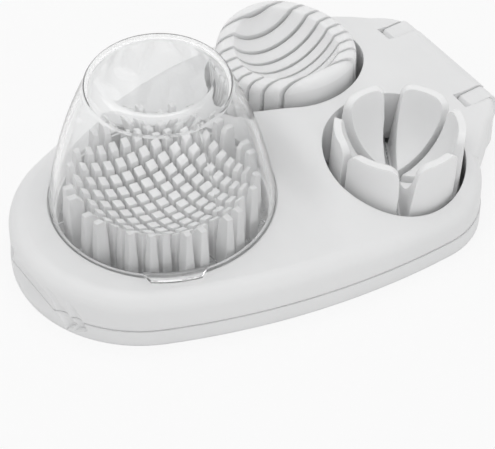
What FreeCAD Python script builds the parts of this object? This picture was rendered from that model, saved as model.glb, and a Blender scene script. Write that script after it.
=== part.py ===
"""A hinged three-way egg slicer: dicing, slicing and wedging cups under one wired lid, with a clear dome."""
import FreeCAD, Part
import math
import os

V = FreeCAD.Vector

# Driving sizes, in millimetres and degrees: name, value, meaning.
SIZES = [
    ("nose_center_y", -45.1, "middle of the round nose in plan"),
    ("nose_radius", 46.4, "round nose in plan"),
    ("corner_center_x", 36.4, "middle of a rear corner in plan"),
    ("corner_center_y", 40.8, "middle of a rear corner in plan"),
    ("corner_radius", 27.1, "rear corners in plan"),
    ("side_radius", 251.0, "bowed sides in plan"),
    ("floor_thickness", 2.4, "floor of the base tray"),
    ("tray_height", 6.6, "height of the base tray"),
    ("tray_wall", 2.6, "rim of the base tray"),
    ("tray_proud", 0.35, "tray rim stands proud of the closed lid"),
    ("seam_gap", 0.2, "gap between the tray and the closed lid"),
    ("lid_wall", 2.4, "wall of the lid shell"),
    ("nose_top", 21.0, "top of the lid over the nose"),
    ("nose_crown_radius", 900.0, "slight crown of the lid over the nose"),
    ("crown_top", 31.8, "top of the lid between the two rear holes"),
    ("crown_radius", 121.6, "crown of the lid across its rear half"),
    ("rise_start_y", -3.0, "where the lid starts to rise behind the dome"),
    ("rise_end_y", 17.0, "where the lid has risen to its crown"),
    ("edge_round", 6.0, "rounding of the lid's upper edge"),
    ("fall_start_y", 55.0, "where the lid starts to fall towards the hinge"),
    ("fall_end_y", 82.0, "where that fall ends over the hinge"),
    ("tail_crown_radius", 500.0, "slight crown of the lid over the hinge"),
    ("tail_round", 3.0, "rounding of the hinge tail's upper edge"),
    ("hinge_y", 84.0, "hinge axis"),
    ("hinge_z", 17.5, "hinge axis"),
    ("barrel_radius", 7.5, "hinge barrel"),
    ("tail_half_width", 46.5, "hinge tail where it leaves the body"),
    ("tail_root_share", 0.3, "straight part of the tail's flank, as a share of the tail"),
    ("tail_flank_out", 9.0, "end of the flank outside the knuckle slots"),
    ("tail_flank_back", 12.5, "end of the flank in front of the tail's back"),
    ("tail_turn_out", 5.0, "rounded rear corner of the tail outside the knuckle slots"),
    ("tail_turn_back", 6.9, "rounded rear corner of the tail in front of its back"),
    ("tail_bulge", 3.0, "bulge of the tail's back"),
    ("grip_radius", 12.0, "scoop under the nose that lifts the lid"),
    ("grip_depth", 2.0, "scoop at its deepest"),
    ("grip_z", 8.2, "height of its deepest line"),
    ("nose_block", 6.5, "solid nose of the lid behind the scoop"),
    ("flute_radius", 3.0, "flutes beside the scoop"),
    ("flute_depth", 1.5, "flutes at their foot"),
    ("flute_top", 15.5, "height where a flute runs out"),
    ("flute_foot", 2.5, "height that a flute points to"),
    ("inner_flute_top", 14.0, "inner flute from the nose, in degrees"),
    ("inner_flute_foot", 26.5, "inner flute from the nose at its foot, in degrees"),
    ("outer_flute_top", 24.5, "outer flute from the nose, in degrees"),
    ("outer_flute_foot", 31.0, "outer flute from the nose at its foot, in degrees"),
    ("knuckle_inner_x", 19.0, "inner side of the lid's knuckle slots"),
    ("knuckle_outer_x", 26.4, "outer side of the lid's knuckle slots"),
    ("knuckle_gap", 0.3, "side play of a base knuckle in its slot"),
    ("slot_front_y", 75.2, "front of the knuckle slots"),
    ("knuckle_sink", 0.8, "flat top of a base knuckle below the barrel"),
    ("pin_radius", 2.0, "hinge pin"),
    ("pin_clearance", 0.05, "running fit of the hinge pin"),
    ("pin_half_length", 28.5, "hinge pin"),
    ("dicing_y", -37.0, "middle of the dicing hole"),
    ("dicing_hole_radius", 36.6, "dicing hole in the lid"),
    ("slicing_x", -26.4, "middle of the slicing hole"),
    ("slicing_y", 33.3, "middle of the slicing hole"),
    ("slicing_hole_radius", 28.3, "slicing hole in the lid"),
    ("wedge_x", 32.1, "middle of the wedge hole"),
    ("wedge_y", 38.8, "middle of the wedge hole"),
    ("wedge_hole_radius", 25.4, "wedge hole in the lid"),
    ("skirt_wall", 2.1, "skirt that hangs round each hole"),
    ("skirt_bottom", 12.6, "lower end of the skirts"),
    ("seat_clearance", 0.3, "play of the dome in its seat"),
    ("seat_depth", 1.0, "dome seat sunk in the lid"),
    ("wire_radius", 0.25, "cutting wire"),
    ("wire_z", 10.7, "cutting wires with the lid closed"),
    ("cross_wire_rise", 0.7, "second layer of dicing wires above the first"),
    ("wire_fit", 0.02, "clearance of a wire in its frame"),
    ("frame_height", 3.0, "wire frames"),
    ("frame_width", 1.8, "wire frames"),
    ("frame_step", 0.3, "wire frame set back from the edge of its hole"),
    ("slicing_pitch", 5.0, "spacing of the slicing wires"),
    ("plinth_top", 9.4, "floor of the cutting slots"),
    ("socket_clearance", 0.2, "play of a cup in its socket"),
    ("socket_wall", 1.6, "socket rings on the tray"),
    ("socket_height", 3.0, "socket rings on the tray"),
    ("dicing_play", 1.9, "dicing cup inside its hole"),
    ("least_pin", 2.6, "thinnest dicing pin at its foot"),
    ("bowl_play", 4.0, "bowl of the pin tips, radius beyond that of the cup"),
    ("bowl_bottom", 18.0, "lowest pin tips"),
    ("blade_top", 35.5, "top of the outer dicing blades"),
    ("pin_slot", 1.5, "slot between dicing pins"),
    ("pin_knee", 20.0, "height where the pins start to taper"),
    ("pin_draft", 0.75, "taper of a dicing pin on each side"),
    ("slicing_play", 1.9, "slicing cup inside its hole"),
    ("slicing_taper", 1.0, "lean of the slicing cup's wall"),
    ("slicing_round", 3.4, "outer edge of the slicing cup's rim"),
    ("slicing_crest_round", 1.2, "inner edge of the slicing cup's rim"),
    ("slicing_top", 41.0, "rim of the slicing cup over its ends"),
    ("slicing_side_top", 36.3, "rim of the slicing cup at its sides"),
    ("slicing_bowl_radius", 22.0, "hollow of the slicing cup"),
    ("slicing_bowl_bottom", 26.0, "lowest point of that hollow"),
    ("slicing_slot", 1.2, "slots of the slicing cup"),
    ("wedge_play", 2.0, "wedge cup inside its hole"),
    ("wedge_taper", 0.4, "inward lean of the petals"),
    ("wedge_lean", 1.8, "lean of the petals back with the rising lid"),
    ("wedge_top", 37.5, "tops of the petals"),
    ("petal_round", 4.5, "upper corners of the petals"),
    ("petal_thickness", 2.8, "petals at their tops"),
    ("wedge_bowl_bottom", 14.5, "lowest point of the wedge hollow"),
    ("wedge_slot", 2.6, "slots between the petals"),
    ("dome_overlap", 2.9, "foot of the dome beyond the dicing hole"),
    ("dome_wall", 2.0, "wall of the dome"),
    ("dome_bulge", 2.1, "bulge of the dome's wall"),
    ("dome_lean", 15.7, "dome's wall from its foot in to its top"),
    ("dome_top", 75.5, "top of the dome"),
    ("dome_round", 5.3, "rounding of the dome's upper edge"),
    ("tab_reach", 3.2, "lift tab beyond the rim"),
    ("tab_thickness", 1.4, "lift tab"),
    ("tab_angle", -26.0, "direction of the lift tab from +X"),
    ("tab_span", 34.0, "angle that the lift tab covers"),
    ("screw_radius", 1.4, "screws under the cups"),
    ("head_radius", 2.8, "screw heads"),
    ("head_height", 1.1, "screw heads"),
    ("head_recess", 0.3, "screw heads below the foot of the tray"),
    ("screw_depth", 5.0, "length of screw in a cup"),
    ("screw_clearance", 0.15, "screw holes in the tray"),
    ("screw_spread", 14.0, "screws from the middle of a cup"),
]
DICING_WIRES = 12
# Width of the dicing cup in wire spacings: the spaces between the wires and a part of one at each end.
DICING_SPACES = DICING_WIRES + 2
SLICING_WIRES = 9
CROWN_STEPS_X = 10
CROWN_STEPS_Y = 40
# Share of a cross wire's travel that the pin behind it leans back with.
PIN_LEAN = 0.3
# Middle of a rounded corner, from its square corner, as a share of its radius.
CORNER_SHARE = 1 - math.sqrt(0.5)
# Turn of the slicing cup that keeps the start of its round wall clear of the rim's low sides.
SEAM_TURN = 90
SWEEP_ANGLE = 60
# Length of the wedge cup's cutting tools in radii of the cup.
WEDGE_TOOL = 3
# Corners of the lift tab as shares of its span: foot, tip, middle, tip, foot.
TAB_SHARES = (-0.5, -0.34, 0, 0.34, 0.5)
# Points closer than this count as touching.
TOUCH = 0.01
WEDGE_WIRE_ANGLES = {"middle": 90, "left": 150, "right": 30}

UP = V(0, 0, 1)

doc = FreeCAD.newDocument("egg_slicer")
sheet = doc.addObject("Spreadsheet::Sheet", "sizes")
for row, (alias, number, meaning) in enumerate(SIZES, start=1):
    sheet.set(f"A{row}", meaning)
    sheet.set(f"B{row}", str(number))
    sheet.setAlias(f"B{row}", alias)
doc.recompute()


class Size(float):
    """A number that remembers the sheet expression it came from."""

    def __new__(cls, number, text):
        made = float.__new__(cls, number)
        made.text = text
        return made

    def __add__(self, other):
        return Size(float(self) + float(other), f"({self.text} + {words(other)})")

    def __sub__(self, other):
        return Size(float(self) - float(other), f"({self.text} - {words(other)})")

    def __mul__(self, other):
        return Size(float(self) * float(other), f"({self.text} * {words(other)})")

    def __truediv__(self, other):
        return Size(float(self) / float(other), f"({self.text} / {words(other)})")

    def __neg__(self):
        return Size(-float(self), f"(-{self.text})")


def words(value):
    return value.text if isinstance(value, Size) else repr(float(value))


def root(value):
    return Size(math.sqrt(value), f"sqrt({value.text})")


def size(alias):
    return Size(sheet.get(alias), f"sizes.{alias}")


# Longer than any piece: used for cutting tools that run clear through.
TALL = size("dome_top")
DICING_PITCH = (size("dicing_hole_radius") - size("dicing_play")) * 2 / DICING_SPACES
DOME_FOOT_RADIUS = size("dicing_hole_radius") + size("dome_overlap")


def bind(obj, **properties):
    """Tie properties of an object to the sheet."""
    for name, value in properties.items():
        obj.setExpression(name.replace("_at_", ".Base."), words(value))


def put(obj, x=0, y=0, z=0):
    bind(obj, Placement_at_x=x, Placement_at_y=y, Placement_at_z=z)
    return obj


def add(kind, name):
    return doc.addObject(kind, name)


def cylinder(name, radius, height, x=0, y=0, z=0, axis=V(0, 0, 1)):
    made = add("Part::Cylinder", name)
    bind(made, Radius=radius, Height=height)
    made.Placement = FreeCAD.Placement(V(x, y, z), FreeCAD.Rotation(V(0, 0, 1), axis))
    return put(made, x, y, z)


def cone(name, foot, top, height, x=0, y=0, z=0):
    made = add("Part::Cone", name)
    bind(made, Radius1=foot, Radius2=top, Height=height)
    return put(made, x, y, z)


def box(name, length, width, height, x=0, y=0, z=0):
    made = add("Part::Box", name)
    bind(made, Length=length, Width=width, Height=height)
    return put(made, x, y, z)


def cut(name, base, *tools):
    made = add("Part::Cut", name)
    made.Base = base
    made.Tool = tools[0] if len(tools) == 1 else fuse(name + "_tools", *tools)
    return made


def fuse(name, *pieces):
    made = add("Part::MultiFuse", name)
    made.Shapes = list(pieces)
    return made


def feature(name, shape):
    made = add("Part::Feature", name)
    made.Shape = shape
    return made


def arc(start, middle, end):
    return Part.Arc(start, middle, end).toShape()


def line(start, end):
    return Part.LineSegment(start, end).toShape()


def toward(start, end, length):
    return start + (end - start).normalize() * length


def outline_face(inset, z):
    """Plan of the body: a round nose, bowed sides, two rear corners and a straight back."""
    nose = V(0, size("nose_center_y"), z)
    corner = V(size("corner_center_x"), size("corner_center_y"), z)
    nose_r = size("nose_radius") - inset
    corner_r = size("corner_radius") - inset
    side_r = size("side_radius") - inset
    apart = (corner - nose).Length
    from_nose = side_r - nose_r
    from_corner = side_r - corner_r
    along = (from_nose ** 2 - from_corner ** 2 + apart ** 2) / (2 * apart)
    across = math.sqrt(from_nose ** 2 - along ** 2)
    direction = (corner - nose).normalize()
    side = nose + direction * along + V(-direction.y, direction.x, 0) * across
    front = toward(side, nose, side_r)
    rear = toward(side, corner, side_r)
    side_middle = toward(side, (front + rear) / 2, side_r)
    back = corner + V(0, corner_r, 0)
    corner_middle = toward(corner, (rear + back) / 2, corner_r)
    tip = nose - V(0, nose_r, 0)

    def mirror(point):
        return V(-point.x, point.y, point.z)

    edges = [
        arc(mirror(front), tip, front),
        arc(front, side_middle, rear),
        arc(rear, corner_middle, back),
        line(back, mirror(back)),
        arc(mirror(back), mirror(corner_middle), mirror(rear)),
        arc(mirror(rear), mirror(side_middle), mirror(front)),
    ]
    return Part.Face(Part.Wire(edges))


def tail_face(z):
    """Plan of the hinge tail: straight flanks that run in to a rounded, slightly bulged back."""
    rear = size("hinge_y") + size("barrel_radius")
    root_y = size("corner_center_y") + size("corner_radius") / 2
    slot = size("knuckle_outer_x")
    start = V(size("tail_half_width"), root_y + (rear - root_y) * size("tail_root_share"), z)
    inner = V(start.x, root_y, z)
    flank_end = V(slot + size("tail_flank_out"), rear - size("tail_flank_back"), z)
    turn = V(slot + size("tail_turn_out"), rear - size("tail_turn_back"), z)
    back = V(size("knuckle_inner_x") + size("tail_turn_out"), rear - size("tail_bulge"), z)
    middle = V(0, rear, z)

    def mirror(point):
        return V(-point.x, point.y, point.z)

    edges = [
        line(mirror(inner), inner),
        line(inner, start),
        line(start, flank_end),
        arc(flank_end, turn, back),
        arc(back, middle, mirror(back)),
        arc(mirror(back), mirror(turn), mirror(flank_end)),
        line(mirror(flank_end), mirror(start)),
        line(mirror(start), mirror(inner)),
    ]
    return Part.Face(Part.Wire(edges))


def smooth(share):
    """A share from 0 to 1 that starts and ends gently."""
    share = min(1.0, max(0.0, float(share)))
    return share ** 2 * (3 - 2 * share)


def crown_height(x, y):
    """Upper surface of the lid: nearly flat over the nose, arched behind it, and low over the hinge."""
    nose = size("nose_top") - x ** 2 / (2 * size("nose_crown_radius"))
    arch = size("crown_top") - x ** 2 / (2 * size("crown_radius"))
    tail = size("hinge_z") + size("barrel_radius") - x ** 2 / (2 * size("tail_crown_radius"))
    rise = smooth((y - size("rise_start_y")) / (size("rise_end_y") - size("rise_start_y")))
    fall = smooth((y - size("fall_start_y")) / (size("fall_end_y") - size("fall_start_y")))
    top = nose + (arch - nose) * rise
    return float(top + (tail - top) * fall)


def crown_solid(drop):
    """Everything below the lid's upper surface, lowered by drop."""
    wide = size("corner_center_x") + size("corner_radius") * 2
    front = size("nose_center_y") - size("nose_radius") * 2
    rear = size("hinge_y") + size("corner_radius")
    grid = []
    for i in range(CROWN_STEPS_X + 1):
        x = wide * (2 * i / CROWN_STEPS_X - 1)
        row = []
        for j in range(CROWN_STEPS_Y + 1):
            y = front + (rear - front) * (j / CROWN_STEPS_Y)
            row.append(V(x, y, crown_height(x, y) - drop))
        grid.append(row)
    surface = Part.BSplineSurface()
    surface.interpolate(grid)
    return surface.toShape().extrude(V(0, 0, -TALL))


def barrel_solid(drop, bottom):
    """Side view of the lid: open above and in front, and rounded round the hinge at the back."""
    wide = size("nose_radius") * 2
    y = size("hinge_y")
    z = size("hinge_z")
    r = size("barrel_radius") - drop
    front = size("nose_center_y") - wide
    back_y = size("corner_center_y") + size("corner_radius")
    points = [
        V(-wide, front, bottom),
        V(-wide, back_y, bottom),
        V(-wide, back_y, z - r),
        V(-wide, y, z - r),
        V(-wide, y + r, z),
        V(-wide, y, z + r),
        V(-wide, y, TALL),
        V(-wide, front, TALL),
    ]
    edges = [line(points[k], points[k + 1]) for k in (0, 1, 2)]
    edges.append(arc(points[3], points[4], points[5]))
    edges += [line(points[k], points[(k + 1) % 8]) for k in (5, 6, 7)]
    return Part.Face(Part.Wire(edges)).extrude(V(2 * wide, 0, 0))


HOLES = {
    "dicing": (V(0, size("dicing_y"), 0), size("dicing_hole_radius")),
    "slicing": (V(size("slicing_x"), size("slicing_y"), 0), size("slicing_hole_radius")),
    "wedge": (V(size("wedge_x"), size("wedge_y"), 0), size("wedge_hole_radius")),
}


def nose_point(angle, z, out):
    """A point near the nose wall: degrees round from the tip, height, and distance outside the wall."""
    turn = math.radians(angle)
    reach = size("nose_radius") + out
    return V(reach * math.sin(turn), size("nose_center_y") - reach * math.cos(turn), z)


def grip_tools():
    """Scoop under the nose with two slanting flutes on each side of it."""
    r = size("grip_radius")
    wide = size("nose_radius")
    tip = size("nose_center_y") - size("nose_radius")
    scoop_at = V(-wide, tip - r + size("grip_depth"), size("grip_z"))
    tools = [Part.makeCylinder(r, wide * 2, scoop_at, V(1, 0, 0))]
    r = size("flute_radius")
    for name in ("inner", "outer"):
        for side in (1, -1):
            high = nose_point(side * size(name + "_flute_top"), size("flute_top"), r)
            low = nose_point(side * size(name + "_flute_foot"), size("flute_foot"), r - size("flute_depth"))
            along = high - low
            tools.append(Part.makeCylinder(r, along.Length, low, along))
    return tools


def lid_shape():
    """Lid shell: a filleted crown over the body's plan, a hinge tail, three skirted holes and a grip."""
    bottom = size("tray_height") + size("seam_gap")
    wall = size("lid_wall")
    crown = crown_solid(0)
    body = outline_face(0, bottom).extrude(UP * TALL).common(crown)
    upper = [e for e in body.Edges if e.BoundBox.ZMin > bottom + wall and e.BoundBox.ZLength < TALL / 4]
    upper = [e for e in upper if e.Length > wall and on_outline(e, outline_face(0, 0))]
    body = body.makeFillet(size("edge_round"), upper)
    tail = tail_face(bottom).extrude(UP * TALL).common(crown)
    flanks = [e for e in tail.Edges if e.BoundBox.ZMin > bottom + wall and on_outline(e, tail_face(0))]
    flanks = [e for e in flanks if abs(e.valueAt(e.FirstParameter).x) > size("knuckle_outer_x")]
    tail = tail.makeFillet(size("tail_round"), flanks)
    solid = body.fuse(tail).common(barrel_solid(0, bottom))
    tip = size("nose_center_y") - size("nose_radius")
    inside = outline_face(wall, 0).extrude(UP * TALL).common(crown_solid(wall))
    inside = inside.common(barrel_solid(wall, 0))
    inside = inside.cut(Part.makeBox(TALL * 2, size("nose_block"), TALL, V(-TALL, tip, 0)))
    skirts = []
    holes = []
    frame_room = size("frame_step") * 2 + size("frame_width")
    for middle, radius in HOLES.values():
        skirt = Part.makeCylinder(radius + size("skirt_wall"), TALL, middle + UP * size("skirt_bottom"))
        skirts.append(skirt.common(solid))
        holes.append(Part.makeCylinder(radius, TALL, middle))
        holes.append(Part.makeCylinder(radius + frame_room, size("skirt_bottom"), middle))
    seat_r = DOME_FOOT_RADIUS + size("seat_clearance")
    seat_z = size("nose_top") - size("seat_depth")
    holes.append(Part.makeCylinder(seat_r, TALL, V(0, size("dicing_y"), seat_z)))
    slot_width = size("knuckle_outer_x") - size("knuckle_inner_x")
    for x in (size("knuckle_inner_x"), -size("knuckle_outer_x")):
        holes.append(Part.makeBox(slot_width, TALL, TALL, V(x, size("slot_front_y"), 0)))
    reach = size("pin_half_length")
    bore_r = size("pin_radius") + size("pin_clearance")
    bore_at = V(-reach, size("hinge_y"), size("hinge_z"))
    holes.append(Part.makeCylinder(bore_r, reach * 2, bore_at, V(1, 0, 0)))
    shell = solid.cut(inside).fuse(skirts)
    return shell.cut(holes + grip_tools()).removeSplitter()


def on_outline(edge, face):
    """True for an edge that runs along the rim of a plan."""
    wall = face.OuterWire
    middle = edge.valueAt((edge.FirstParameter + edge.LastParameter) / 2)
    return wall.distToShape(Part.Vertex(V(middle.x, middle.y, 0)))[0] < TOUCH


feature("lid_shell", lid_shape())


def base_tray():
    """Shallow tray with a socket ring for each cup, screw holes, and two arms with the hinge knuckles."""
    floor = size("floor_thickness")
    tray = add("Part::Extrusion", "tray_block")
    tray.Base = feature("tray_outline", outline_face(-size("tray_proud"), 0))
    tray.Dir = UP
    bind(tray, LengthFwd=size("tray_height"))
    tip = size("nose_center_y") - size("nose_radius")
    nose = box("tray_nose_block", TALL * 2, size("nose_block"), TALL, -TALL, tip)
    hollow = add("Part::Extrusion", "tray_hollow")
    hollow.Base = feature("tray_inner_outline", outline_face(size("tray_wall"), floor))
    hollow.Dir = UP
    bind(hollow, LengthFwd=size("tray_height"))
    pieces = [cut("tray_pan", tray, cut("tray_room", hollow, nose))]
    holes = [feature("tray_grip", Part.makeCompound(grip_tools()))]
    for name, (middle, radius) in CUPS.items():
        inner = radius + size("socket_clearance")
        outer = inner + size("socket_wall")
        ring = cylinder(name + "_socket_outer", outer, size("socket_height"), *middle, floor)
        hole = cylinder(name + "_socket_inner", inner, size("socket_height"), *middle, floor)
        pieces.append(cut(name + "_socket", ring, hole))
    for name, x, y in screw_places():
        shank = size("screw_radius") + size("screw_clearance")
        recess = size("head_recess") + size("head_height")
        holes.append(cylinder(name + "_hole", shank, floor, x, y))
        head = size("head_radius") + size("screw_clearance")
        holes.append(cylinder(name + "_recess", head, recess, x, y))
    for side in (1, -1):
        pieces.append(knuckle_arm(side))
    bore = size("pin_radius") + size("pin_clearance")
    reach = size("pin_half_length")
    across = V(1, 0, 0)
    holes.append(cylinder("base_pin_bore", bore, reach * 2, -reach, size("hinge_y"), size("hinge_z"), across))
    return cut("base_tray", fuse("tray_with_sockets", *pieces), *holes)


def knuckle_arm(side):
    """Arm that rises from the back of the tray and ends in a hinge knuckle with a flat top."""
    y = size("hinge_y")
    z = size("hinge_z")
    gap = size("knuckle_gap")
    r = size("barrel_radius") - gap
    front_r = y - size("slot_front_y") - gap
    flat = r - size("knuckle_sink")
    width = size("knuckle_outer_x") - size("knuckle_inner_x") - gap * 2
    low = size("knuckle_inner_x") + gap if side > 0 else -size("knuckle_outer_x") + gap
    root_y = size("corner_center_y") + size("corner_radius") - size("tray_wall")
    top = size("tray_height")

    def rim(radius, angle):
        turn = math.radians(angle)
        return V(low, y + radius * math.cos(turn), z + radius * math.sin(turn))

    foot = V(low, y - r / 2, 0)
    axis = V(low, y, z)
    reach = (foot - axis).Length
    under = math.degrees(math.atan2(-z, foot.y - y) + math.acos(r / reach))
    back_flat = math.degrees(math.asin(flat / r))
    front_flat = 180 - math.degrees(math.asin(flat / front_r))
    edges = [
        line(V(low, root_y, 0), foot),
        line(foot, rim(r, under)),
        arc(rim(r, under), rim(r, (under + back_flat) / 2), rim(r, back_flat)),
        line(rim(r, back_flat), rim(front_r, front_flat)),
        arc(rim(front_r, front_flat), rim(front_r, (front_flat + 180) / 2), rim(front_r, 180)),
        line(rim(front_r, 180), V(low, y - front_r, top)),
        line(V(low, y - front_r, top), V(low, root_y, top)),
        line(V(low, root_y, top), V(low, root_y, 0)),
    ]
    name = "right" if side > 0 else "left"
    arm = add("Part::Extrusion", name + "_knuckle_arm")
    arm.Base = feature(name + "_knuckle_profile", Part.Face(Part.Wire(edges)))
    arm.Dir = V(1, 0, 0)
    bind(arm, LengthFwd=width)
    return arm


CUPS = {
    "dicing": ((0, size("dicing_y")), size("dicing_hole_radius") - size("dicing_play")),
    "slicing": ((size("slicing_x"), size("slicing_y")), size("slicing_hole_radius") - size("slicing_play")),
    "wedge": ((size("wedge_x"), size("wedge_y")), size("wedge_hole_radius") - size("wedge_play")),
}


def screw_places():
    """Two screws under each cup, in front of and behind its middle."""
    places = []
    for name, ((x, y), radius) in CUPS.items():
        places.append((name + "_front_screw", x, y - size("screw_spread")))
        places.append((name + "_rear_screw", x, y + size("screw_spread")))
    return places


def cup_screws():
    floor = size("floor_thickness")
    screws = []
    for name, x, y in screw_places():
        head_z = size("head_recess")
        head = cylinder(name + "_head", size("head_radius"), size("head_height"), x, y, head_z)
        length = floor + size("screw_depth") - head_z - size("head_height")
        shank = cylinder(name + "_shank", size("screw_radius"), length, x, y, head_z + size("head_height"))
        screws.append(fuse(name, head, shank))
    group = add("Part::Compound", "cup_screws")
    group.Links = screws
    return group


def pilot_holes(cup):
    """Blind holes in the foot of a cup for its screws."""
    holes = []
    for name, x, y in screw_places():
        if name.startswith(cup):
            radius = size("screw_radius") + size("wire_fit")
            depth = size("screw_depth") + size("screw_clearance")
            holes.append(cylinder(name + "_pilot", radius, depth, x, y, size("floor_thickness")))
    return holes


def dicing_cup():
    (x, y), radius = CUPS["dicing"]
    floor = size("floor_thickness")
    plinth = cylinder("dicing_plinth", radius, size("plinth_top") - floor, x, y, floor)
    return cut("dicing_cup", plinth, *pilot_holes("dicing"))


def wire_shift(y, z, height):
    """How far a cross wire at rest at y, z moves back when the lid has lifted it to a height."""
    reach = math.hypot(y - size("hinge_y"), z - size("hinge_z"))
    return size("hinge_y") - math.sqrt(reach ** 2 - (height - size("hinge_z")) ** 2) - y


def blade_room(x_low, x_high, y_low, y_high):
    """Largest upright room for a pin between its wires that keeps inside the cup's round plan."""
    radius = CUPS["dicing"][1]
    half = size("pin_slot") / 2
    reach = (max(abs(x_low), abs(x_high)) - half, max(abs(y_low), abs(y_high)) - half)
    if math.hypot(*reach) > radius:
        near = (min(abs(x_low), abs(x_high)) + half, min(abs(y_low), abs(y_high)) + half)
        total = reach[0] + reach[1]
        both = max(0.0, 2 * radius ** 2 - (reach[0] - reach[1]) ** 2)
        trim = (total - math.sqrt(both)) / 2
        tries = [
            (math.sqrt(max(0.0, radius ** 2 - reach[1] ** 2)), reach[1]),
            (reach[0], math.sqrt(max(0.0, radius ** 2 - reach[0] ** 2))),
            (reach[0] - trim, reach[1] - trim),
        ]
        fits = [far for far in tries if min(far[0] - near[0], far[1] - near[1]) >= size("least_pin")]
        if not fits:
            return None
        reach = max(fits, key=lambda far: (far[0] - near[0]) * (far[1] - near[1]))
    far_x = reach[0] + half
    far_y = reach[1] + half
    return max(x_low, -far_x), min(x_high, far_x), max(y_low, -far_y), min(y_high, far_y)


def dicing_pins():
    """Tapered pins between the dicing wires, tips cut to a bowl, leaned to let the rising wires through."""
    middle_y = size("dicing_y")
    outer = CUPS["dicing"][1] + size("pin_slot") / 2
    lines = [DICING_PITCH * (k - (DICING_WIRES - 1) / 2) for k in range(DICING_WIRES)]
    spaces = [-outer] + lines + [outer]
    pins = []
    for columns in zip(spaces, spaces[1:]):
        for rows in zip(spaces, spaces[1:]):
            room = blade_room(*columns, *rows)
            if room:
                pins.append(pin(room[0], room[1], middle_y + room[2], middle_y + room[3]))
    return Part.makeCompound(pins)


def pin_ring(x_low, x_high, y_low, y_high, z):
    """Corners of a pin between four wires at a height."""
    half = size("pin_slot") / 2
    knee = size("pin_knee")
    cross_z = size("wire_z") + size("cross_wire_rise")
    draft = size("pin_draft") * max(0.0, (z - knee) / (size("blade_top") - knee))
    near = 0.0
    far = 0.0
    if z >= knee:
        near = max(0.0, wire_shift(y_low, cross_z, z))
        far = wire_shift(y_high, cross_z, z) * PIN_LEAN
    left = x_low + half + draft
    right = x_high - half - draft
    front = y_low + half + max(draft, near)
    back = y_high - half - draft + far
    return [V(left, front, z), V(right, front, z), V(right, back, z), V(left, back, z)]


def pin(x_low, x_high, y_low, y_high):
    """One pin: straight to its knee, tapered above, its tip in the bowl's tangent plane over its middle."""
    (x, y), radius = CUPS["dicing"]
    bowl = radius + size("bowl_play")
    middle = V(x, y, size("bowl_bottom") + bowl)
    rings = [pin_ring(x_low, x_high, y_low, y_high, z)
             for z in (size("plinth_top"), size("pin_knee"), size("blade_top"))]
    center = (rings[0][0] + rings[0][2]) / 2 - V(x, y, rings[0][0].z)
    down = V(center.x, center.y, -math.sqrt(bowl ** 2 - center.Length ** 2)).normalize()
    faces = [Part.Face(Part.makePolygon(ring + ring[:1])) for ring in (rings[0], rings[2])]
    for low, high in zip(rings, rings[1:]):
        for k in range(4):
            n = (k + 1) % 4
            faces.append(Part.Face(Part.makePolygon([low[k], low[n], high[n], high[k], low[k]])))
    block = Part.makeSolid(Part.makeShell(faces))
    above = Part.makePlane(TALL * 2, TALL * 2)
    above.translate(V(-TALL, -TALL, 0))
    tilt = FreeCAD.Placement(middle + down * bowl, FreeCAD.Rotation(UP, -down))
    above.Placement = tilt.multiply(above.Placement)
    return block.cut(above.extrude(-down * TALL))


def slicing_cup():
    (x, y), radius = CUPS["slicing"]
    floor = size("floor_thickness")
    height = size("slicing_top") - floor
    rim = radius - size("slicing_taper")
    block = cone("slicing_block", radius, rim, height, x, y, floor)
    block.Placement.Rotation = FreeCAD.Rotation(UP, SEAM_TURN)
    bowl = add("Part::Sphere", "slicing_bowl")
    bind(bowl, Radius=size("slicing_bowl_radius"))
    put(bowl, x, y, size("slicing_bowl_bottom") + size("slicing_bowl_radius"))
    drop = size("slicing_top") - size("slicing_side_top")
    saddle_r = (rim * rim + drop * drop) / (drop * 2)
    saddle_z = size("slicing_side_top") + saddle_r
    long = TALL * 2
    saddle = cylinder("slicing_saddle", saddle_r, long, x, y - long / 2, saddle_z, V(0, 1, 0))
    body = cut("slicing_body", block, bowl, saddle)
    doc.recompute()
    rounded = add("Part::Fillet", "slicing_rounded")
    rounded.Base = body
    rims = []
    for number, edge in enumerate(body.Shape.Edges, start=1):
        if edge.BoundBox.ZMin > size("slicing_side_top") - size("slicing_round"):
            middle = edge.valueAt((edge.FirstParameter + edge.LastParameter) / 2)
            outer = math.hypot(middle.x - x, middle.y - y) > size("slicing_bowl_radius")
            turn = float(size("slicing_round") if outer else size("slicing_crest_round"))
            rims.append((number, turn, turn))
    rounded.Edges = rims
    slots = []
    for k in range(SLICING_WIRES):
        offset = size("slicing_pitch") * (k - (SLICING_WIRES - 1) / 2)
        width = size("slicing_slot")
        left = x + offset - width / 2
        slot = box(f"slicing_slot_{k + 1}", width, long, height, left, y - long / 2, size("plinth_top"))
        slots.append(slot)
    return cut("slicing_cup", rounded, *slots, *pilot_holes("slicing"))


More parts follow.
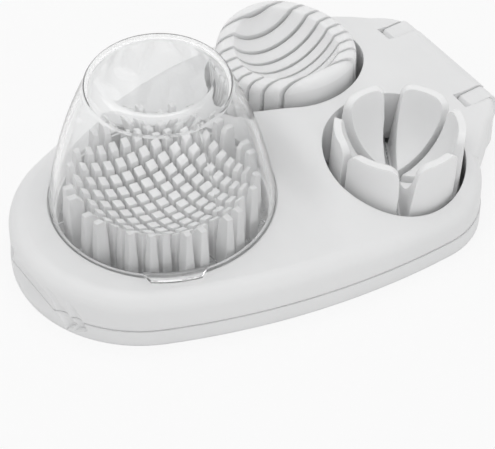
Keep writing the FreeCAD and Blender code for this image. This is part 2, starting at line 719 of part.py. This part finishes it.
def wedge_cup():
    """Six petals round an egg-shaped hollow, parted by slots that follow the wires round the hinge."""
    (x, y), radius = CUPS["wedge"]
    floor = size("floor_thickness")
    plinth = size("plinth_top")
    rim = radius - size("wedge_taper")
    rim_y = y + size("wedge_lean")
    foot = cylinder("wedge_foot", radius, plinth - floor, x, y, floor)
    low_ring = add("Part::Circle", "wedge_low_ring")
    bind(low_ring, Radius=radius)
    high_ring = add("Part::Circle", "wedge_high_ring")
    bind(high_ring, Radius=rim)
    wall = add("Part::Loft", "wedge_wall")
    wall.Sections = [put(low_ring, x, y, plinth), put(high_ring, x, rim_y, size("wedge_top"))]
    wall.Solid = True
    wall.Ruled = True
    block = fuse("wedge_block", foot, wall)
    bowl = add("Part::Ellipsoid", "wedge_bowl")
    across = rim - size("petal_thickness")
    bind(bowl, Radius1=size("wedge_top") - size("wedge_bowl_bottom"), Radius2=across, Radius3=across)
    put(bowl, x, rim_y, size("wedge_top"))
    slots = []
    for name, angle in WEDGE_WIRE_ANGLES.items():
        strip = add("Part::Plane", name + "_wedge_strip")
        length = radius * WEDGE_TOOL
        width = size("wedge_slot")
        bind(strip, Length=length, Width=width)
        turn = FreeCAD.Rotation(UP, angle)
        corner = turn.multVec(V(-length / 2, -width / 2, 0))
        strip.Placement = FreeCAD.Placement(V(x, y, size("plinth_top")) + corner, turn)
        sweep = add("Part::Revolution", name + "_wedge_slot")
        sweep.Source = strip
        sweep.Axis = V(-1, 0, 0)
        sweep.Base = V(0, size("hinge_y"), size("hinge_z"))
        sweep.Angle = SWEEP_ANGLE
        sweep.Solid = True
        slots += [sweep, petal_gap(name, angle)]
    return cut("wedge_cup", block, bowl, *slots, *pilot_holes("wedge"))


def petal_gap(name, angle):
    """Room between petals: upright on one side, leaning with the rising wire on the other, corners round."""
    (x, y), radius = CUPS["wedge"]
    along = FreeCAD.Rotation(UP, angle).multVec(V(1, 0, 0))
    back = V(-along.y, along.x, 0)
    if back.y < 0:
        back = -back
    foot = size("plinth_top")
    top = size("wedge_top")
    turn = size("petal_round")
    knee = top - turn
    near = -size("wedge_slot") / 2
    far = size("wedge_slot") / 2 + wire_shift(y, size("wire_z"), top) * back.y
    start = V(x, y, 0) - along * (radius * WEDGE_TOOL / 2)

    def at(across, z):
        return start + back * across + UP * z

    inset = turn * CORNER_SHARE
    edges = [
        line(at(near, foot), at(-near, foot)),
        line(at(-near, foot), at(far, knee)),
        arc(at(far, knee), at(far + inset, top - inset), at(far + turn, top)),
        line(at(far + turn, top), at(far + turn, TALL)),
        line(at(far + turn, TALL), at(near - turn, TALL)),
        line(at(near - turn, TALL), at(near - turn, top)),
        arc(at(near - turn, top), at(near - inset, top - inset), at(near, knee)),
        line(at(near, knee), at(near, foot)),
    ]
    gap = add("Part::Extrusion", name + "_petal_gap")
    gap.Base = feature(name + "_petal_gap_section", Part.Face(Part.Wire(edges)))
    gap.Dir = along
    bind(gap, LengthFwd=radius * WEDGE_TOOL)
    return gap


def wire(name, length, angle, x, y, z):
    """A straight wire through x, y, z, at an angle from +X in plan."""
    along = FreeCAD.Rotation(UP, angle).multVec(V(1, 0, 0))
    made = add("Part::Cylinder", name)
    bind(made, Radius=size("wire_radius"), Height=length)
    start = V(x, y, z) - along * (length / 2)
    made.Placement = FreeCAD.Placement(start, FreeCAD.Rotation(V(0, 0, 1), along))
    return made


def wire_set(cup):
    """Wires of one cup as rows of name, angle in plan, offset to the left of that direction and height."""
    z = size("wire_z")
    if cup == "dicing":
        rows = []
        for k in range(DICING_WIRES):
            offset = DICING_PITCH * (k - (DICING_WIRES - 1) / 2)
            rows.append((f"dicing_wire_long_{k + 1:02d}", 90, -offset, z))
            rows.append((f"dicing_wire_cross_{k + 1:02d}", 0, offset, z + size("cross_wire_rise")))
        return rows
    if cup == "slicing":
        middle = (SLICING_WIRES - 1) / 2
        pitch = size("slicing_pitch")
        return [(f"slicing_wire_{k + 1}", 90, -pitch * (k - middle), z) for k in range(SLICING_WIRES)]
    rise = size("wire_radius") * 2 + size("wire_fit")
    rows = []
    for k, (name, angle) in enumerate(WEDGE_WIRE_ANGLES.items()):
        rows.append((f"wedge_wire_{name}", angle, 0, z + rise * k))
    return rows


def wire_frame(cup):
    """Ring under a hole of the lid with its wires seated in bores across it."""
    middle, hole = HOLES[cup]
    inner = hole + size("frame_step")
    outer = inner + size("frame_width")
    height = size("frame_height")
    bottom = size("skirt_bottom") - height
    ring = cut(cup + "_ring", cylinder(cup + "_ring_outer", outer, height, middle.x, middle.y, bottom),
               cylinder(cup + "_ring_inner", inner, height, middle.x, middle.y, bottom))
    seat = inner + size("frame_width") / 2
    wires = []
    bores = []
    for name, angle, offset, z in wire_set(cup):
        left = FreeCAD.Rotation(UP, angle).multVec(V(0, 1, 0))
        length = root(seat * seat - offset * offset) * 2
        at = middle + left * offset
        wires.append(wire(name, length, angle, at.x, at.y, z))
        bore = wire(name + "_bore", length + size("wire_fit") * 2, angle, at.x, at.y, z)
        bind(bore, Radius=size("wire_radius") + size("wire_fit"))
        bores.append(bore)
    tools = add("Part::Compound", cup + "_bores")
    tools.Links = bores
    return [cut(cup + "_frame", ring, tools)] + wires


def origin_plane(body, role):
    return next(plane for plane in body.Origin.OriginFeatures if plane.Role == role)


def dome_body():
    """Clear dome: a revolved cup standing on its mouth, with a rim and a lift tab."""
    rim = DOME_FOOT_RADIUS
    wall = size("dome_wall")
    foot = size("nose_top") - size("seat_depth")
    top_r = rim - size("dome_lean")
    top = size("dome_top")
    turn = size("dome_round")
    body = add("PartDesign::Body", "dome")
    sketch = body.newObject("Sketcher::SketchObject", "dome_profile")
    sketch.AttachmentSupport = [(origin_plane(body, "XZ_Plane"), "")]
    sketch.MapMode = "FlatFace"
    below = top - turn
    below_r = top_r + size("dome_lean") / (top - foot) * turn

    def wall_arc(inset):
        start = V(rim - inset, foot, 0)
        end = V(below_r - inset, below, 0)
        return start, (start + end) / 2 + V(size("dome_bulge"), 0, 0), end

    def round_arc(inset):
        start = V(below_r - inset, below, 0)
        end = V(top_r - turn, top - inset, 0)
        corner = V(below_r - inset, top - inset, 0)
        return start, corner + (V(end.x, start.y, 0) - corner) * CORNER_SHARE, end

    chain = [
        Part.LineSegment(V(rim - wall, foot, 0), V(rim, foot, 0)),
        Part.Arc(*wall_arc(0)),
        Part.Arc(*round_arc(0)),
        Part.LineSegment(V(top_r - turn, top, 0), V(0, top, 0)),
        Part.LineSegment(V(0, top, 0), V(0, top - wall, 0)),
        Part.LineSegment(V(0, top - wall, 0), V(top_r - turn, top - wall, 0)),
        Part.Arc(*reversed(round_arc(wall))),
        Part.Arc(*reversed(wall_arc(wall))),
    ]
    sketch.addGeometry(chain, False)
    turned = body.newObject("PartDesign::Revolution", "dome_cup")
    turned.Profile = sketch
    turned.ReferenceAxis = (sketch, ["V_Axis"])
    turned.Angle = 360
    plan = body.newObject("Sketcher::SketchObject", "tab_plan")
    plan.AttachmentSupport = [(origin_plane(body, "XY_Plane"), "")]
    plan.MapMode = "FlatFace"
    tab_low = size("nose_top") + size("seat_clearance")
    plan.AttachmentOffset = FreeCAD.Placement(UP * tab_low, FreeCAD.Rotation())
    reach = rim + size("tab_reach")
    near = rim - wall / 2
    angles = [size("tab_angle") + size("tab_span") * share for share in TAB_SHARES]
    spot = [V(math.cos(math.radians(a)), math.sin(math.radians(a)), 0) for a in angles]
    plan.addGeometry([
        Part.Arc(spot[0] * near, spot[2] * near, spot[4] * near),
        Part.LineSegment(spot[4] * near, spot[3] * reach),
        Part.Arc(spot[3] * reach, spot[2] * reach, spot[1] * reach),
        Part.LineSegment(spot[1] * reach, spot[0] * near),
    ], False)
    tab = body.newObject("PartDesign::Pad", "lift_tab")
    tab.Profile = plan
    bind(tab, Length=size("tab_thickness"))
    body.Tip = tab
    bind(body, Placement_at_y=size("dicing_y"))
    return body


def hinge_pin():
    reach = size("pin_half_length") - size("pin_clearance")
    place = (-reach, size("hinge_y"), size("hinge_z"))
    return cylinder("hinge_pin", size("pin_radius"), reach * 2, *place, V(1, 0, 0))


def write(nodes):
    """Check every object, then write one file for each piece."""
    doc.recompute()
    for obj in doc.Objects:
        if "Invalid" in obj.State or "Error" in obj.State:
            raise RuntimeError(f"{obj.Name} failed: {obj.State}")
    os.makedirs("parts", exist_ok=True)
    for node in nodes:
        shape = node.Shape
        if shape.isNull() or not shape.isValid() or not shape.Solids:
            raise RuntimeError(f"{node.Name} has no valid solid")
        node.Label = node.Name
        solids = shape.Solids
        kept = solids[0] if len(solids) == 1 else Part.makeCompound(solids)
        kept.exportStep(f"parts/{node.Label}.step")
        print(node.Label, len(solids), round(shape.Volume), [round(v, 1) for v in bounds(shape)])


def bounds(shape):
    box_of = shape.BoundBox
    return box_of.XMin, box_of.XMax, box_of.YMin, box_of.YMax, box_of.ZMin, box_of.ZMax


pieces = [base_tray(), dicing_cup(), feature("dicing_pins", dicing_pins()), slicing_cup(), wedge_cup()]
pieces += [cup_screws(), hinge_pin(), doc.getObject("lid_shell"), dome_body()]
for cup_name in HOLES:
    pieces += wire_frame(cup_name)
write(pieces)
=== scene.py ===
"""The looks of the egg slicer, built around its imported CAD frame."""

import math

import bmesh
import bpy
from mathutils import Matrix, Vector


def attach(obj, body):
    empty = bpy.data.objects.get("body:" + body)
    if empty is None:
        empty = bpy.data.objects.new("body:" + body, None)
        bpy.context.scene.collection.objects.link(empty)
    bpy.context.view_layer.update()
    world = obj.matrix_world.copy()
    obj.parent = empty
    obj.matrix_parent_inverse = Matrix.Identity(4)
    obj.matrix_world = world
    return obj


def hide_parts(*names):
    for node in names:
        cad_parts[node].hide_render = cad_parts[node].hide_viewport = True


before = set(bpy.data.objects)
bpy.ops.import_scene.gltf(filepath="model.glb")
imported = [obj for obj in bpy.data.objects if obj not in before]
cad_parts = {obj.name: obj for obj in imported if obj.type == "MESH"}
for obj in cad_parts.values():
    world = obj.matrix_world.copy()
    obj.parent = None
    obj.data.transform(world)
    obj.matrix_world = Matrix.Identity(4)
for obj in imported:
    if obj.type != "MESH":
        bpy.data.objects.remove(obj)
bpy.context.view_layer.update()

scene = bpy.context.scene
scene.view_settings.view_transform = "Standard"

# The darker and the lighter tone of each surface. The cups are whiter than the lid. The pins and
# the dicing cup under the dome are lighter still, which is painted light standing in for the
# light the dome holds back.
LID_WHITE = (0.80, 0.803, 0.806), (0.835, 0.837, 0.839)
CUP_WHITE = (0.84, 0.842, 0.844), (0.87, 0.872, 0.874)
PIN_WHITE_AND_PAINTED_LIGHT = (0.885, 0.887, 0.889), (0.915, 0.917, 0.918)
STEEL_GREY = (0.52, 0.53, 0.54), (0.68, 0.69, 0.70)
CLEAR_TINT = (0.995, 0.997, 0.998, 1)
FLOOR_GREY = (0.86, 0.86, 0.86, 1)
PURE_WHITE = (1, 1, 1, 1)

# The lowest and the highest roughness of each surface.
LID_ROUGH = 0.36, 0.5
CUP_ROUGH = 0.4, 0.52
CLEAR_ROUGH = 0.002, 0.014
STEEL_ROUGH = 0.2, 0.36
FLOOR_ROUGH = 0.9

# Scales of the noise, which is read in metres, and the part of it that carries a change.
FLOW_SCALE = 26.0
LID_GRAIN = 5200.0
CUP_GRAIN = 4200.0
HAZE_SCALE = 38.0
RIPPLE_SCALE = 60.0
LINE_SCALE = 900.0
NOISE_ROUGHNESS = 0.55
NOISE_SPAN = 0.3, 0.7
HAZE_SPAN = 0.42, 0.75

# Strength and depth in metres of each bump, and the radius of edges that shading softens.
GRAIN_BUMP = 0.12, 0.00005
RIPPLE_BUMP = 0.02, 0.0001
LINE_BUMP = 0.1, 0.00003
WORN_EDGE = 0.0004
WORN_EDGE_SAMPLES = 4

# How light enters the plastics: the share that scatters inside, and how far in metres.
FIRM_MILK = 0.15
SOFT_MILK = 0.7
MILK_DEPTH = 0.0025
PLASTIC_IOR = 1.5
PLASTIC_GLOSS = 0.42
CLEAR_IOR = 1.49
CLEAR_SHARE = 0.96

# Stretch of the lines on steel: none on the wires, and drawn out along X on the pin and screws.
WIRE_LINES = (1, 1, 1)
PIN_LINES = (0.05, 1, 1)

# Height of the blunt tips of the outer blades, and the radius of the pins' edges, in metres.
PIN_TIP = 0.0335
PIN_EDGE = 0.0003
PIN_EDGE_SEGMENTS = 2
# Faces closer in angle than the first are merged, and edges sharper than the second are rounded.
FLAT_ANGLE = math.radians(1.0)
SHARP_ANGLE = math.radians(20)
# Points closer than these are one point, before and after the rounding, in metres.
SAME_POINT = 1e-6
SLIVER = 5e-6

# The floor, the share of it that is seen as white, and the light from all round.
FLOOR_SIZE = 40.0
FLOOR_WHITE_SHARE = 0.8
STUDIO_LIGHT = 0.68
# Rays that have met a matt surface have a depth of one or more.
FIRST_MATT_BOUNCE = 0.5

# Soft lamps: name, place, width and height, and power in watts.
LAMP_AIM = (0, 0, 0.03)
LAMPS = (
    ("top_softbox", (-0.1, -0.1, 0.9), (0.9, 0.9), 2.4),
    ("left_softbox", (0.25, -0.9, 0.5), (0.5, 0.7), 0.15),
    ("right_softbox", (2.85, 0.15, 0.69), (1.8, 2.4), 9.9),
)

# The camera fitted to the outline, with its focal length in pixels of the picture's width.
CAMERA_PLACE = Vector((0.44023, -0.30030, 0.51358))
CAMERA_TARGET = Vector((0.02782, -0.02030, 0.02000))
FOCAL_PIXELS = 2054.9
PICTURE_WIDTH = 495.0
SENSOR_WIDTH = 36.0


def material(name):
    """A new node material, with its node tree and its principled shader."""
    made = bpy.data.materials.new(name)
    made.use_nodes = True
    shader = next(n for n in made.node_tree.nodes if n.type == "BSDF_PRINCIPLED")
    return made, made.node_tree, shader


def add(tree, kind, **values):
    """One node with its inputs and settings given by name."""
    node = tree.nodes.new(kind)
    for key, value in values.items():
        name = key.replace("_", " ")
        if name in node.inputs:
            node.inputs[name].default_value = value
        else:
            setattr(node, key, value)
    return node


def combine(tree, operation, first, second):
    """A math node over a socket and a second socket or number."""
    node = add(tree, "ShaderNodeMath", operation=operation)
    tree.links.new(first, node.inputs[0])
    if isinstance(second, float):
        node.inputs[1].default_value = second
    else:
        tree.links.new(second, node.inputs[1])
    return node.outputs[0]


def noise(tree, scale, detail, stretch=(1, 1, 1)):
    """Noise in the object's own place, in metres."""
    place = tree.nodes.new("ShaderNodeTexCoord")
    mapping = add(tree, "ShaderNodeMapping", Scale=stretch)
    tree.links.new(place.outputs["Object"], mapping.inputs["Vector"])
    made = add(
        tree, "ShaderNodeTexNoise", Scale=scale, Detail=detail, Roughness=NOISE_ROUGHNESS)
    tree.links.new(mapping.outputs["Vector"], made.inputs["Vector"])
    return made.outputs["Fac"]


def colour_between(tree, factor, tones, span):
    """A colour between two tones, as the factor goes through its span."""
    made = tree.nodes.new("ShaderNodeValToRGB")
    for element, position, tone in zip(made.color_ramp.elements, span, tones):
        element.position = position
        element.color = (*tone, 1)
    tree.links.new(factor, made.inputs["Fac"])
    return made.outputs["Color"]


def number_between(tree, factor, limits, span):
    """A number between two limits, as the factor goes through its span."""
    made = add(
        tree, "ShaderNodeMapRange", From_Min=span[0], From_Max=span[1],
        To_Min=limits[0], To_Max=limits[1])
    tree.links.new(factor, made.inputs["Value"])
    return made.outputs["Result"]


def bump(tree, shader, height, size, edge_round=0.0):
    """A bump on the shader's normal, over edges that may be softened by a small radius."""
    strength, depth = size
    made = add(tree, "ShaderNodeBump", Strength=strength, Distance=depth)
    tree.links.new(height, made.inputs["Height"])
    if edge_round:
        worn = add(tree, "ShaderNodeBevel", samples=WORN_EDGE_SAMPLES, Radius=edge_round)
        tree.links.new(worn.outputs["Normal"], made.inputs["Normal"])
    tree.links.new(made.outputs["Normal"], shader.inputs["Normal"])


def moulded_plastic(name, tones, rough, grain, milk):
    """Satin moulded plastic: a fine grain, slow flow marks and faint changes of tone."""
    made, tree, shader = material(name)
    flow = noise(tree, FLOW_SCALE, 4.0)
    fine = noise(tree, grain, 2.0)
    tree.links.new(colour_between(tree, flow, tones, NOISE_SPAN), shader.inputs["Base Color"])
    tree.links.new(number_between(tree, fine, rough, NOISE_SPAN), shader.inputs["Roughness"])
    bump(tree, shader, fine, GRAIN_BUMP, edge_round=WORN_EDGE)
    shader.inputs["IOR"].default_value = PLASTIC_IOR
    shader.inputs["Specular IOR Level"].default_value = PLASTIC_GLOSS
    shader.inputs["Subsurface Weight"].default_value = milk
    shader.inputs["Subsurface Radius"].default_value = (1.0, 1.0, 1.0)
    shader.inputs["Subsurface Scale"].default_value = MILK_DEPTH
    return made


def clear_plastic(name):
    """Clear moulded plastic with a faint ripple, a trace of haze and a few dull patches."""
    made, tree, shader = material(name)
    shader.inputs["Base Color"].default_value = CLEAR_TINT
    shader.inputs["Transmission Weight"].default_value = CLEAR_SHARE
    shader.inputs["IOR"].default_value = CLEAR_IOR
    haze = noise(tree, HAZE_SCALE, 5.0)
    tree.links.new(number_between(tree, haze, CLEAR_ROUGH, HAZE_SPAN), shader.inputs["Roughness"])
    bump(tree, shader, noise(tree, RIPPLE_SCALE, 1.0), RIPPLE_BUMP)
    return made


def bright_steel(name, stretch):
    """Bright steel with fine lines that are drawn out where the stretch is small."""
    made, tree, shader = material(name)
    shader.inputs["Metallic"].default_value = 1.0
    lines = noise(tree, LINE_SCALE, 2.0, stretch)
    tree.links.new(
        colour_between(tree, lines, STEEL_GREY, NOISE_SPAN), shader.inputs["Base Color"])
    tree.links.new(
        number_between(tree, lines, STEEL_ROUGH, NOISE_SPAN), shader.inputs["Roughness"])
    bump(tree, shader, lines, LINE_BUMP)
    return made


plastic = moulded_plastic("white_moulded_plastic", LID_WHITE, LID_ROUGH, LID_GRAIN, FIRM_MILK)
# Painted light: the dicing cup and pins take a lighter tone than the lid, for the light they lack
# under the dome.
painted_light_plastic = moulded_plastic("painted_light_moulded_plastic", PIN_WHITE_AND_PAINTED_LIGHT, CUP_ROUGH, CUP_GRAIN, FIRM_MILK)
milky_plastic = moulded_plastic(
    "milky_moulded_plastic", CUP_WHITE, CUP_ROUGH, CUP_GRAIN, SOFT_MILK)
clear = clear_plastic("clear_moulded_plastic")
wire_steel = bright_steel("drawn_wire_steel", WIRE_LINES)
pin_steel = bright_steel("turned_pin_steel", PIN_LINES)


def finish_for(name):
    """The material of one CAD node."""
    if name == "dome":
        return clear
    if "_wire_" in name:
        return wire_steel
    if name in ("hinge_pin", "cup_screws"):
        return pin_steel
    if name in ("slicing_cup", "wedge_cup"):
        return milky_plastic
    # The parts under the dome get the plastic that is lightened with painted light.
    if name in ("dicing_cup", "dicing_pins"):
        return painted_light_plastic
    return plastic


for name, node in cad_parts.items():
    node.data.materials.clear()
    node.data.materials.append(finish_for(name))
# The lamps reach the pins under the dome as through clear plastic.
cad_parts["dome"].visible_shadow = False


def softened_pins():
    """The dicing pins with blunt tips and rounded edges, as they leave a mould."""
    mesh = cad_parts["dicing_pins"].data.copy()
    shape = bmesh.new()
    shape.from_mesh(mesh)
    bmesh.ops.remove_doubles(shape, verts=shape.verts, dist=SAME_POINT)
    everything = shape.verts[:] + shape.edges[:] + shape.faces[:]
    cut = bmesh.ops.bisect_plane(
        shape, geom=everything, plane_co=(0, 0, PIN_TIP), plane_no=(0, 0, 1), clear_outer=True)
    rims = [item for item in cut["geom_cut"] if isinstance(item, bmesh.types.BMEdge)]
    bmesh.ops.holes_fill(shape, edges=rims)
    bmesh.ops.dissolve_limit(
        shape, angle_limit=FLAT_ANGLE, verts=shape.verts, edges=shape.edges)
    sharp = [
        edge for edge in shape.edges
        if len(edge.link_faces) == 2 and edge.calc_face_angle() > SHARP_ANGLE]
    bmesh.ops.bevel(
        shape, geom=sharp, offset=PIN_EDGE, offset_type="OFFSET", segments=PIN_EDGE_SEGMENTS,
        profile=0.5, affect="EDGES", clamp_overlap=True)
    bmesh.ops.remove_doubles(shape, verts=shape.verts, dist=SLIVER)
    bmesh.ops.dissolve_degenerate(shape, dist=SLIVER, edges=shape.edges)
    for face in shape.faces:
        face.smooth = True
    shape.to_mesh(mesh)
    shape.free()
    made = bpy.data.objects.new("dicing_pins_softened", mesh)
    scene.collection.objects.link(made)
    mesh.materials.clear()
    mesh.materials.append(painted_light_plastic)
    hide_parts("dicing_pins")
    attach(made, "base")


softened_pins()


def seen_white(tree):
    """One where the background is seen, also in gloss and through clear parts, else zero."""
    light = tree.nodes.new("ShaderNodeLightPath").outputs
    seen = combine(tree, "MAXIMUM", light["Is Camera Ray"], light["Is Glossy Ray"])
    seen = combine(tree, "MAXIMUM", seen, light["Is Transmission Ray"])
    direct = combine(tree, "LESS_THAN", light["Diffuse Depth"], FIRST_MATT_BOUNCE)
    return combine(tree, "MULTIPLY", seen, direct)


def mix_to_output(tree, factor, first, second):
    """Two shaders mixed by a factor, at the output of a material or a world."""
    mix = tree.nodes.new("ShaderNodeMixShader")
    tree.links.new(factor, mix.inputs["Fac"])
    tree.links.new(first.outputs[0], mix.inputs[1])
    tree.links.new(second.outputs[0], mix.inputs[2])
    out = next(n for n in tree.nodes if n.type in ("OUTPUT_MATERIAL", "OUTPUT_WORLD"))
    tree.links.new(mix.outputs[0], out.inputs["Surface"])


def floor_material(name):
    """A pale floor that is seen as nearly white and keeps the object's shadow."""
    made, tree, shader = material(name)
    shader.inputs["Base Color"].default_value = FLOOR_GREY
    shader.inputs["Roughness"].default_value = FLOOR_ROUGH
    shader.inputs["Specular IOR Level"].default_value = 0.0
    glow = add(tree, "ShaderNodeEmission", Strength=1.0)
    share = combine(tree, "MULTIPLY", seen_white(tree), FLOOR_WHITE_SHARE)
    mix_to_output(tree, share, shader, glow)
    return made


bpy.ops.mesh.primitive_plane_add(size=FLOOR_SIZE, location=(0, 0, 0))
floor = bpy.context.object
floor.name = "floor"
floor.data.materials.append(floor_material("floor_white"))


def studio_world():
    """Even light all round, and white where the background past the floor is seen."""
    world = bpy.data.worlds.new("studio")
    world.use_nodes = True
    scene.world = world
    tree = world.node_tree
    lit = next(n for n in tree.nodes if n.type == "BACKGROUND")
    lit.inputs["Color"].default_value = PURE_WHITE
    lit.inputs["Strength"].default_value = STUDIO_LIGHT
    white = add(tree, "ShaderNodeBackground", Color=PURE_WHITE, Strength=1.0)
    mix_to_output(tree, seen_white(tree), lit, white)


def aimed(made, place, aim):
    """Puts a lamp or camera in the scene at a place, looking at a point."""
    scene.collection.objects.link(made)
    made.location = place
    made.rotation_euler = (Vector(aim) - Vector(place)).to_track_quat("-Z", "Y").to_euler()


def lamp(name, place, size, power):
    """A soft rectangular lamp that the camera doesn't see."""
    data = bpy.data.lights.new(name, "AREA")
    data.shape = "RECTANGLE"
    data.size, data.size_y = size
    data.energy = power
    made = bpy.data.objects.new(name, data)
    aimed(made, place, LAMP_AIM)
    made.visible_camera = False


studio_world()
for settings in LAMPS:
    lamp(*settings)

lens = bpy.data.cameras.new("photo_camera")
lens.sensor_width = SENSOR_WIDTH
lens.lens = FOCAL_PIXELS * SENSOR_WIDTH / PICTURE_WIDTH
camera = bpy.data.objects.new("photo_camera", lens)
aimed(camera, CAMERA_PLACE, CAMERA_TARGET)
scene.camera = camera
